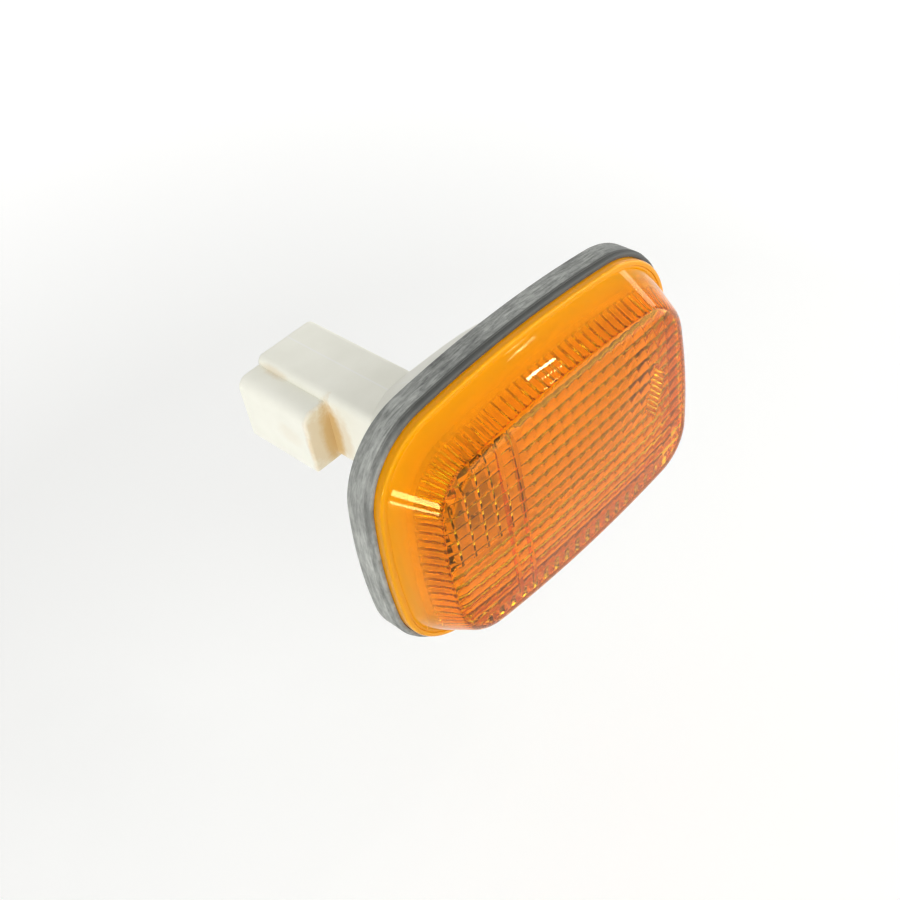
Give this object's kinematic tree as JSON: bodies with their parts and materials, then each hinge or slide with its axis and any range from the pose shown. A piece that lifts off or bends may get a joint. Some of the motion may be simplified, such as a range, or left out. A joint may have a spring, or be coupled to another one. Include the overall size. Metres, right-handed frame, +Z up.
{
  "type": "vehicle side indicator lamp",
  "caption": "Amber side indicator lamp with a fluted lens, a rubber gasket and a white housing with a stalk and plug socket.",
  "frame": {"origin": "centre of the panel cut-out, in the plane of the panel that the gasket seats on", "axes": "+X along the lamp's length away from the stalk's side, +Y back through the panel along the stalk, +Z up"},
  "size_m": [0.075, 0.065, 0.0536],
  "materials": {
    "amber_lens": "clear amber acrylic, polished outside with moulded optics inside",
    "rubber": "aged grey rubber with a chalky bloom",
    "white_plastic": "satin off-white moulding, yellowed in places",
    "glass": "clear",
    "tungsten": "dull grey wire",
    "lead_wire": "nickel wire",
    "brass": "stamped strip"
  },
  "bodies": {
    "root": {"lens": "amber_lens", "gasket": "rubber", "housing": "white_plastic", "bulb_glass": "glass", "bulb_filament": "tungsten", "bulb_lead_upper": "lead_wire", "bulb_lead_lower": "lead_wire", "terminal_upper": "brass", "terminal_lower": "brass"}
  },
  "joints": []
}
